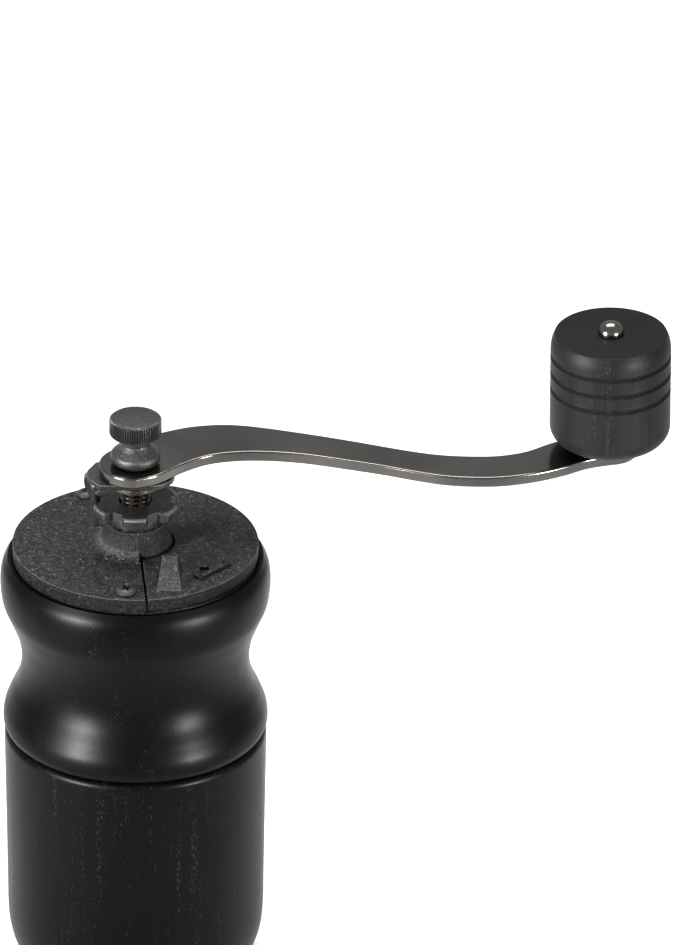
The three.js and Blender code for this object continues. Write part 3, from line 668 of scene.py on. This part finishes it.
def thread(crest, pitch, depth, z0, z1, flats=None):
    """A threaded rod: its radius falls in a spiral groove, and flats cut it off at y = +-flats."""
    segments = 64
    rows_per_turn = 10
    chamfer = 0.5                # length of the bevel at the top end
    rows = int((z1 - z0) / pitch * rows_per_turn)
    vertices, faces = [], []
    for row in range(rows + 1):
        z = z0 + (z1 - z0) * row / rows
        run_out = min(1.0, (z1 - z) / (0.8 * pitch), (z - z0) / (0.5 * pitch))
        for i in range(segments):
            angle = TAU * i / segments
            phase = (z / pitch - angle / TAU) % 1.0
            groove = 1 - abs(2 * phase - 1)
            groove = max(0.0, min(1.0, 1.35 * groove - 0.18))
            r = crest - depth * groove * max(run_out, 0.0)
            if z1 - z < chamfer:
                r = min(r, crest - 0.7 * (chamfer - (z1 - z)))
            x, y = r * math.cos(angle), r * math.sin(angle)
            if flats is not None:
                y = max(-flats, min(flats, y))
            vertices.append((x, y, z))
    for row in range(rows):
        for i in range(segments):
            j = (i + 1) % segments
            low, high = row * segments, (row + 1) * segments
            faces.append((low + i, low + j, high + j, high + i))
    faces.append(tuple(reversed(range(segments))))
    faces.append(tuple(rows * segments + i for i in range(segments)))
    return mesh_from(vertices, faces)


# ------------------------------------------------------------------ wooden pieces

def inside(points, radius):
    """The points, with none further out than the radius."""
    return [(min(r, radius), z) for r, z in points]


def make_cup(material):
    """Turned cup with a rounded foot, a socket for the body's spigot and a rounded floor."""
    outer = smooth_curve([
        (26.4, 0.0), (27.5, 1.1), (29.6, 4.6), (31.4, 8.2), (33.0, 12.0), (33.9, 16.0), (34.3, 21.0),
        (34.42, 30.0), (34.65, 45.0), (35.0, 65.0), (35.08, 73.0),
    ], 6)
    top = CUP.z1
    socket, bore = 30.2, 28.2
    ledge = top - SPIGOT_LENGTH
    floor = 8.0
    rim = [
        (35.0, top - 1.25), (34.75, top - 0.65), (34.3, top - 0.2), (33.7, top),
        (socket + 0.4, top), (socket, top - 0.4),
    ]
    inner = [
        (socket, ledge), (bore, ledge), (bore, floor + 6.0), (bore - 0.6, floor + 3.0),
        (bore - 2.4, floor + 1.0), (bore - 6.0, floor), (0, floor),
    ]
    profile = [(0, 0), *inside(outer, CUP.r - 0.02), *rim, *inner]
    finished(turned(profile, 160), "cup_wood", material, "cup", ["cup"], sharp=40)


def make_body(material):
    """Turned body: bulge, waist and bulge, bored for the hopper, with a spigot that enters the cup."""
    foot = BODY.z0
    low = foot + SPIGOT_LENGTH
    top = BODY.z1
    outer = smooth_curve([
        (33.6, low), (34.6, low + 0.4), (35.3, low + 1.8), (35.42, low + 3.4), (35.0, low + 6.0),
        (33.6, low + 9.5), (31.6, low + 14.0), (30.55, low + 18.5), (30.55, low + 23.0),
        (31.6, low + 28.3), (33.7, low + 33.7), (35.4, low + 37.8), (36.05, low + 42.0),
        (36.05, low + 45.6), (35.5, low + 48.4), (34.2, top),
    ], 10)
    recess, bore, spigot, seat = 32.9, 26.0, 29.8, 121.0
    inner = [
        (recess + 0.3, top), (recess, top - 0.4), (recess, seat), (bore, seat), (bore, foot + 0.6),
        (bore + 0.6, foot), (29.2, foot), (spigot, foot + 0.6), (spigot, low),
    ]
    profile = inside(outer, BODY.r - 0.02) + inner
    finished(turned(profile, 160, ring=True), "body_wood", material, "mill", ["body"], sharp=40)


def make_knob(material):
    """Turned knob: crisp flat top, bulging shoulder, three grooves with fine lips, round foot."""
    top, low, r = KNOB.z1, KNOB.z0, KNOB.r - 0.02
    bore = 2.85
    face = r - 1.25
    round_foot = 5.0

    def groove(z):
        half = [(r - 0.06, 1.05), (r - 0.01, 0.78), (r - 0.12, 0.62), (r - 0.72, 0.12)]
        return [(x, z - h) for x, h in half] + [(x, z + h) for x, h in half[::-1]]

    grooves = (15.6, 10.9, 6.0)  # below the top
    profile = [(bore, low), (r - round_foot, low)]
    for step in range(1, 10):
        angle = math.radians(10 * step)
        profile.append((r - round_foot * (1 - math.sin(angle)), low + round_foot * (1 - math.cos(angle))))
    for drop in grooves:
        profile += groove(top - drop)
    profile += [
        (r - 0.05, top - 4.2), (r - 0.15, top - 3.0), (r - 0.4, top - 1.8), (r - 0.8, top - 0.8),
        (face + 0.15, top - 0.12), (face - 0.1, top), (bore + 0.3, top), (bore, top - 0.3),
    ]
    mesh = turned(profile, 144, (KNOB.x, KNOB.y), ring=True)
    finished(mesh, "knob_wood", material, "knob", ["knob"], sharp=38)


# ------------------------------------------------------------------ cast pieces

def cover_outline():
    """The left half of the disc, with a notch round the lid's ear and the boss's right side."""
    px, py = PIVOT.x, PIVOT.y
    rim = circle(DISC_RADIUS, steps=90, start=-84.6, end=-250.2)
    corner = [(-10.1, 30.4), (-9.85, 29.6)]
    notch = circle(NOTCH_RADIUS, (px, py), 30, 168, 312)
    boss = circle(9.9, steps=40, start=76, end=-82)
    return rim + corner + notch + boss


def boss_profile(foot, flare):
    """Half section of the boss; the foot's flare is its reach into the disc."""
    top = BOSS_TOP
    sleeve, sleeve_bottom = 9.0, 119.0
    shelf = 126.2
    return [
        (SPINDLE_HOLE, sleeve_bottom), (sleeve, sleeve_bottom), (sleeve, shelf), (foot, shelf),
        (foot, DISC_TOP - 0.02), *flare, (9.12, DISC_TOP + 2.0), (8.0, top - 0.35), (7.88, top - 0.12),
        (7.6, top), (4.9, top), (SPINDLE_HOLE, top - 0.3),
    ]


def make_cover(material):
    """The left half of the disc. On the left the boss flares into it; on the right it is cut clean."""
    hole = circle(1.8, steps=20)
    holes = []
    for node in ("cover_screw_rear", "cover_screw_front"):
        at = Span(node)
        holes.append([(x + at.x, y + at.y) for x, y in hole])
    outlines = [cover_outline(), circle(SPINDLE_HOLE, steps=40), *holes]
    disc = plate(outlines, PLATE_BOTTOM, DISC_TOP, 0.3)
    plain = turned(boss_profile(9.88, [(9.75, DISC_TOP + 0.6)]), 96, ring=True)
    flare = [
        (12.7, DISC_TOP + 0.06), (11.6, DISC_TOP + 0.25), (10.6, DISC_TOP + 0.65), (9.75, DISC_TOP + 1.2),
    ]
    flared = turned(boss_profile(13.0, flare), 96, ring=True)
    right = plate([[(0, 0), *circle(40, steps=40, start=-84, end=78)]], 100, 160, 0.01, 0)
    post = [(0, 120), (NOTCH_RADIUS, 120), (NOTCH_RADIUS, 150), (0, 150)]
    notch = turned(post, 48, (PIVOT.x, PIVOT.y))
    mesh = union(disc, plain, cut(flared, right, notch))
    finished(mesh, "cover_casting", material, "mill", ["fixed_cover"], sharp=32)


def make_lid(material):
    """The right part of the disc, with its pivot ear, thumb tab and direction mark."""
    px, py = PIVOT.x, PIVOT.y
    rim = circle(DISC_RADIUS, steps=90, start=-83.7, end=87.2)
    ear = circle(EAR_RADIUS, (px, py), 40, 62, 322)
    clear = circle(10.4, steps=40, start=73.5, end=-79)
    low = DISC_TOP - LID_THICKNESS
    bore, outer, ear_top = 1.85, EAR_RADIUS - 0.02, 131.7
    leaf = plate([rim + ear + clear, circle(bore, (px, py), 24)], low, DISC_TOP, 0.3)
    section = [(bore, PLATE_BOTTOM), (outer, PLATE_BOTTOM), (outer, ear_top), (bore, ear_top)]
    ring = fillet(section, 0.4, 3, closed=True)
    collar = turned(ring, 48, (px, py), ring=True)
    mesh = union(leaf, collar, lid_tab(), *lid_mark())
    finished(mesh, "lid_casting", material, "lid", ["lid"], sharp=32)


def lid_tab():
    """The thumb tab: steep towards the boss, flat on top, and sloping down to the rim."""
    middle = 9.3

    def row(y, z, half):
        return [(middle - half, y, z), (middle + half, y, z)]

    low = DISC_TOP - 1.0
    top = DISC_TOP + 4.3
    points = row(-14.7, low, 3.5) + row(-15.2, top, 1.9) + row(-18.3, top, 2.0)
    points += row(-27.5, DISC_TOP + 0.1, 3.4) + row(-27.9, low, 3.5)
    faces = [
        (0, 1, 3, 2), (2, 3, 5, 4), (4, 5, 7, 6), (6, 7, 9, 8), (8, 9, 1, 0), (0, 2, 4, 6, 8),
        (1, 9, 7, 5, 3),
    ]
    return with_modifiers(mesh_from(points, faces), ("BEVEL", {"width": 0.28 * MM, "segments": 3}))


def lid_mark():
    """A raised stroke with a tick at each end and a small pointer: which way the lid swings."""
    z0, z1 = DISC_TOP - 0.6, DISC_TOP + 0.95
    start, end = Vector((17.5, -21.0)), Vector((25.1, -13.0))
    along = (end - start).normalized()
    turn = math.degrees(math.atan2(along.y, along.x))

    def bar(centre, half_length, half_width, angle):
        mesh = block(-half_length, half_length, -half_width, half_width, z0, z1)
        mesh = with_modifiers(mesh, ("BEVEL", {"width": 0.12 * MM, "segments": 2}))
        return moved(mesh, centre.x, centre.y, angle)

    side = Vector((-along.y, along.x))
    return [
        bar((start + end) / 2, (end - start).length / 2 + 0.4, 0.58, turn),
        bar(start + side * 0.9, 1.3, 0.45, turn + 90),
        bar(end + side * 0.9, 1.3, 0.45, turn + 90),
        bar((start + end) / 2 + side * 3.2 + along * 0.5, 1.1, 0.4, turn + 42),
        bar((start + end) / 2 + side * 3.2 - along * 0.8, 1.1, 0.4, turn - 42),
    ]


def make_hopper(material):
    """Cast funnel with its rim, the burr housing under it, and a lug for the lid's pivot."""
    top, low = HOPPER.z1, HOPPER.z0
    rim, rim_bottom = HOPPER.r, 121.3
    housing, skirt, bowl = 22.6, 25.6, 23.4
    throat, seat, seat_top = 15.2, 18.3, 96.3
    profile = [
        (housing, low), (housing, 100.0), (skirt, 110.0), (skirt, rim_bottom), (rim, rim_bottom),
        (rim, top), (24.2, top), (bowl, top - 1.2), (bowl, 111.0), (throat, 99.0), (throat, seat_top),
        (seat, seat_top), (seat, low),
    ]
    shell = turned(fillet(profile, 0.5, 3, closed=True), 120, ring=True)
    lug_radius, lug_bottom = 4.6, 121.4
    post = [(0, lug_bottom), (lug_radius, lug_bottom), (lug_radius, top), (0, top)]
    lug = turned(post, 40, (PIVOT.x, PIVOT.y))
    mesh = cast(shell, lug, voxel=0.4)
    finished(mesh, "hopper_casting", material, "mill", ["hopper"], sharp=60)


# ------------------------------------------------------------------ screws and small hardware

def washer_section(span, inner, outer, rounding, steps):
    """Half section of a flat ring as high as the span, with rounded edges."""
    corners = [(inner, span.z0), (outer, span.z0), (outer, span.z1), (inner, span.z1)]
    return fillet(corners, rounding, steps, closed=True)


def make_cover_screw(node, material):
    """Pointed screw with a low round head and a cross slot."""
    at = Span(node)
    head_height = 1.3
    seat = at.z1 - head_height
    shank = 1.4
    profile = [
        (0, at.z0), (0.6, at.z0 + 0.6), (shank, at.z0 + 2.5), (shank, seat), (2.55, seat),
        (2.7, seat + 0.2), (2.7, seat + 0.45), (2.4, seat + 0.85), (1.7, seat + 1.2),
        (0, seat + head_height),
    ]
    head = turned(profile, 40)
    reach, half = 1.45, 0.33
    arms = []
    for turn in (30, 120):
        arms.append(moved(block(-reach, reach, -half, half, seat + 0.25, seat + 2), turn=turn))
    mesh = moved(cut(head, *arms), at.x, at.y)
    finished(mesh, node + "_head", material, "mill", [node], sharp=30)


def dome(radius, z0, z1, steps):
    """A quarter of an ellipse from the edge at z0 up to, but not at, the top at z1."""
    angles = [TAU / 4 * k / steps for k in range(steps)]
    return [(radius * math.cos(a), z0 + (z1 - z0) * math.sin(a)) for a in angles]


def make_pivot_screw(material, washer_material):
    """Slotted screw with a domed head, and the washer under it."""
    low, top = PIVOT_SCREW.z0, PIVOT_SCREW.z1
    seat = PIVOT.z1 + 0.3
    shank = 1.5
    profile = [
        (0, low), (1.3, low), (shank, low + 0.4), (shank, seat), (2.5, seat), (2.8, seat + 0.35),
        *dome(2.85, seat + 1.1, top, 8), (0, top),
    ]
    slot = block(-0.42, 0.42, -4, 4, top - 1.5, top + 1)
    mesh = moved(cut(turned(profile, 48), slot), PIVOT.x, PIVOT.y)
    finished(mesh, "lid_pivot_head", material, "mill", ["lid_pivot_screw"], sharp=30)
    ring = washer_section(PIVOT, 1.85, 2.6, 0.15, 2)
    mesh = turned(ring, 40, (PIVOT.x, PIVOT.y), ring=True)
    nodes = ["lid_pivot_washer"]
    finished(mesh, "lid_pivot_collar", washer_material, "mill", nodes, sharp=40)


def make_spindle(material):
    """Journal, M8 thread up to the shoulder, then the thinner thread with its two flats."""
    low = SPINDLE.z0
    step, thread_start = 99.8, 121.0
    journal, rod = 3.0, THREAD_RADIUS - 0.05
    pitch = 1.25
    shaft = turned([
        (0, low), (2.6, low), (journal, low + 0.4), (journal, step), (rod, step), (rod, thread_start),
        (0, thread_start),
    ], 48)
    lower = thread(THREAD_RADIUS, pitch, 0.78, thread_start - 0.4, SHOULDER)
    upper = thread(TIP_RADIUS, pitch, 0.8, SHOULDER - 0.2, SPINDLE.z1, flats=TIP_FLAT)
    mesh = joined(shaft, lower, upper)
    finished(mesh, "spindle_threads", material, "spindle", ["spindle"], sharp=50)


def make_thrust_ring(material):
    """Thick ring with three round pits in its top."""
    top = RING.z1
    mesh = turned(washer_section(RING, 4.4, RING.r, 0.35, 3), 96, ring=True)
    pit = [(0, top - 0.9), (0.6, top - 0.75), (0.9, top - 0.2), (1.0, top + 1), (0, top + 1)]
    pits = [turned(pit, 24, spot(5.8, angle)) for angle in (90, 210, 330)]
    mesh = cut(mesh, *pits)
    finished(mesh, "thrust_ring_steel", material, "thrust_ring", ["thrust_ring"], sharp=35)


def make_adjusting_nut(material):
    """A disc rolled down at its edge, with six slots that leave six tabs."""
    body_r, tab_r, half = 9.4, NUT.r - 0.02, 3.35
    low, top = NUT.z0 + 0.3, NUT.z1
    bore = 4.35
    section = [
        (bore, low + 0.3), (bore + 0.3, low), (tab_r - 0.5, low), (tab_r - 0.1, low + 0.2),
        (tab_r, low + 0.5), (tab_r, top - 0.95), (tab_r - 0.12, top - 0.6), (tab_r - 0.45, top - 0.28),
        (tab_r - 1.0, top - 0.08), (tab_r - 1.6, top), (bore + 0.35, top), (bore, top - 0.35),
    ]
    mesh = turned(section, 120, ring=True)
    sides = [(tab_r - 0.9, half), (tab_r - 0.3, half - 0.25), (tab_r + 0.1, half - 0.9)]
    slots = []
    for middle in range(0, 360, 60):
        inner, *flare = [30 - math.degrees(math.asin(x / r)) for r, x in [(body_r, half), *sides]]
        outline = circle(body_r, steps=8, start=middle - inner, end=middle + inner)
        for (r, _), angle in zip(sides, flare):
            outline.append(spot(r, middle + angle))
        outline += circle(tab_r + 1, steps=8, start=middle + flare[-1], end=middle - flare[-1])
        for (r, _), angle in list(zip(sides, flare))[::-1]:
            outline.append(spot(r, middle - angle))
        slots.append(plate([fillet(outline, 0.35, 3, closed=True)], low - 1, top + 1, 0.01, 0))
    mesh = cut(mesh, *slots)
    nodes = ["adjusting_nut"]
    finished(mesh, "adjusting_nut_steel", material, "adjusting_nut", nodes, sharp=32)


def make_washer(material):
    mesh = turned(washer_section(WASHER, 3.6, WASHER.r, 0.12, 2), 80, ring=True)
    finished(mesh, "washer_steel", material, "washer", ["washer"], sharp=40)


def make_lock_plate(material):
    """Pressed plate with a ring round its hole, and a finger bent down at one end."""
    thickness, half_width = 1.5, 7.1
    round_end = 3.4              # from the hole to the centre of the round end
    z1 = LOCK.z1
    z0 = z1 - thickness
    outline = circle(half_width, (round_end, 0), 32, -90, 90)
    corners = [(-9.0, half_width), (-10.8, 6.1), (-12.9, 1.6), (-12.9, -2.2), (-9.6, -half_width)]
    outline += fillet(corners, 1.2, 4)
    flat = plate([outline, double_d(3.65, KEY_WIDTH)], z0, z1, 0.25)
    press = [
        (4.85, z1 + 0.6), (4.9, z1 + 0.05), (5.2, z1 - 0.28), (5.6, z1 - 0.28), (6.1, z1 + 0.05),
        (6.15, z1 + 0.6),
    ]
    flat = cut(flat, turned(press, 72, ring=True))
    side = [
        (-11.6, z1 - 0.02), (-12.7, z1 - 0.15), (-13.5, z1 - 0.65), (-13.75, z1 - 1.5),
        (-13.6, z0 - 1.6), (-11.75, z0 - 6.8), (-10.95, z0 - 14.2), (-9.7, z0 - 14.1),
        (-10.3, z0 - 6.6), (-12.15, z0 - 0.9), (-11.8, z0 + 0.3),
    ]
    half_finger = 1.38
    points = [(x, y, z) for y in (-half_finger, half_finger) for x, z in side]
    n = len(side)
    faces = [tuple(range(n)), tuple(range(2 * n - 1, n - 1, -1))]
    faces += [(i, (i + 1) % n, (i + 1) % n + n, i + n) for i in range(n)]
    finger = with_modifiers(mesh_from(points, faces), ("BEVEL", {"width": 0.2 * MM, "segments": 2}))
    mesh = union(flat, finger)
    finished(mesh, "lock_plate_steel", material, "lock_plate", ["lock_plate"], sharp=35)


def make_crank(material):
    """The flat arm: a round hub, two opposite bends and a narrower round end under the knob."""
    rear = smooth_curve([
        (-5.4, 8.1), (3, 15), (9.3, 18.6), (15.6, 21), (23.3, 22), (31.5, 21), (44.1, 17.5),
        (56.8, 13.4), (72.6, 7.8), (82.1, 5.4), (91.6, 4.8), (98, 5.5), (104.3, 7.9), (111, 12.8),
        (119, 17.2),
    ])
    front = smooth_curve([
        (0, -9.7), (6.1, -6.9), (12.5, -0.6), (18.8, 3.9), (25.1, 5.9), (31.7, 6.5), (39.6, 6),
        (47.3, 4.5), (56.8, 1.7), (66.3, -1.3), (75.8, -4.8), (83.1, -6.9), (91.6, -7.6),
        (99.2, -6.9), (107.4, -4.4), (114.5, -0.9), (120.5, 2.9), (127, 5.1),
    ])
    hub = circle(9.7, steps=40, start=124, end=270)
    end = circle(7.5, (KNOB.x, KNOB.y), 40, -84, 140)
    outline = hub[:-1] + front + end + rear[::-1][1:-1]
    holes = [double_d(3.6, KEY_WIDTH), circle(2.8, (KNOB.x, KNOB.y), 32)]
    mesh = plate([outline, *holes], CRANK.z0, CRANK.z1, 0.5, 4)
    finished(mesh, "crank_nickel", material, "crank", ["crank_arm"], sharp=30)


def make_knob_pin(material):
    """Riveted pin: flat foot under the arm, domed head with a thin flange on the knob."""
    seat = KNOB.z1 + 0.02
    r = 3.43
    flange = seat + 0.55
    foot = CRANK.z0
    shank, foot_radius = 2.5, 4.0
    profile = [
        (0, foot - 1.3), (3.4, foot - 1.3), (foot_radius, foot - 0.8), (foot_radius, foot - 0.3),
        (shank, foot - 0.3), (shank, seat), (r - 0.25, seat), (r, seat + 0.2),
        *dome(r, flange, PIN.z1, 12), (0, PIN.z1),
    ]
    mesh = turned(profile, 72, (PIN.x, PIN.y))
    finished(mesh, "knob_pin_nickel", material, "crank", ["knob_pin"], sharp=35)


def make_thumb_nut(material):
    """Round foot, slim neck and a knurled head."""
    z, top = THUMB.z0, THUMB.z1
    r = THUMB.r - 0.02
    bore = 3.65
    cap = SPINDLE.z1 + 0.5
    ridges, ridge_depth = 66, 0.42
    outline = fillet([
        (bore, z, 0), (5.7, z, 0.6), (6.68, z + 1.0, 1.2), (6.68, z + 2.7, 1.7), (4.75, z + 4.5, 0.7),
        (3.95, z + 5.6, 0.7), (4.15, z + 8.0, 0.3), (6.5, z + 8.35, 0.3),
    ], 0.3, 4)
    ridged = [(r - 0.1, z + 8.7), (r, z + 8.9), (r, top - 0.75), (r - 0.15, top - 0.6)]
    crown = fillet([(6.45, top - 0.32), (5.9, top - 0.22), (3.0, top - 0.03), (0, top)], 0.3, 3)
    profile = [(0, cap), (bore, cap), *outline, *ridged, *crown]

    def knurl(radius, height, angle):
        if radius < r - 0.3 or height < z + 8.6:
            return radius
        return radius - ridge_depth * (0.5 - 0.5 * math.cos(ridges * angle)) ** 0.8

    mesh = turned(profile, 8 * ridges, radius_at=knurl)
    finished(mesh, "thumb_nut_steel", material, "thumb_nut", ["thumb_nut"], sharp=40)


# ------------------------------------------------------------------ the whole scene

def main():
    make_camera()
    make_floor()
    make_lights()
    body_wood = wood_paint("body_wood", 0.3)
    cup_wood = wood_paint("cup_wood", 0.5)
    knob_wood = wood_paint("knob_wood", 0.55, 0.1, 8, 0.42)
    casting = casting_paint()
    steel = black_steel_paint()
    # the turned steel carries only a faint painted edge highlight
    turned_steel = black_steel_paint("turned_black_steel", edge_highlight_strength=0.15)
    warm = black_steel_paint("warm_steel", (0.085, 0.078, 0.066), 0.4, 0.9)
    nickel = nickel_paint()
    threads = thread_paint()
    burrs = burr_paint()
    bronze = bronze_paint()
    make_cup(cup_wood)
    make_body(body_wood)
    make_knob(knob_wood)
    make_cover(casting)
    make_lid(casting)
    make_hopper(casting)
    make_cover_screw("cover_screw_rear", turned_steel)
    make_cover_screw("cover_screw_front", turned_steel)
    make_pivot_screw(warm, steel)
    make_spindle(threads)
    make_thrust_ring(steel)
    make_adjusting_nut(steel)
    make_washer(warm)
    make_lock_plate(steel)
    make_crank(nickel)
    make_knob_pin(nickel)
    make_thumb_nut(turned_steel)
    plain = {
        "spindle_bush": bronze, "outer_burr": burrs, "inner_burr": burrs, "burr_nut": steel,
        "lower_bridge": steel, "bridge_screw_left": steel, "bridge_screw_right": steel,
        "spring_lower_seat": steel, "spring_upper_seat": steel, "spring": steel, "knob_washer": steel,
    }
    for node, material in plain.items():
        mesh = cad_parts[node].data
        mesh.materials.clear()
        mesh.materials.append(material)


main()
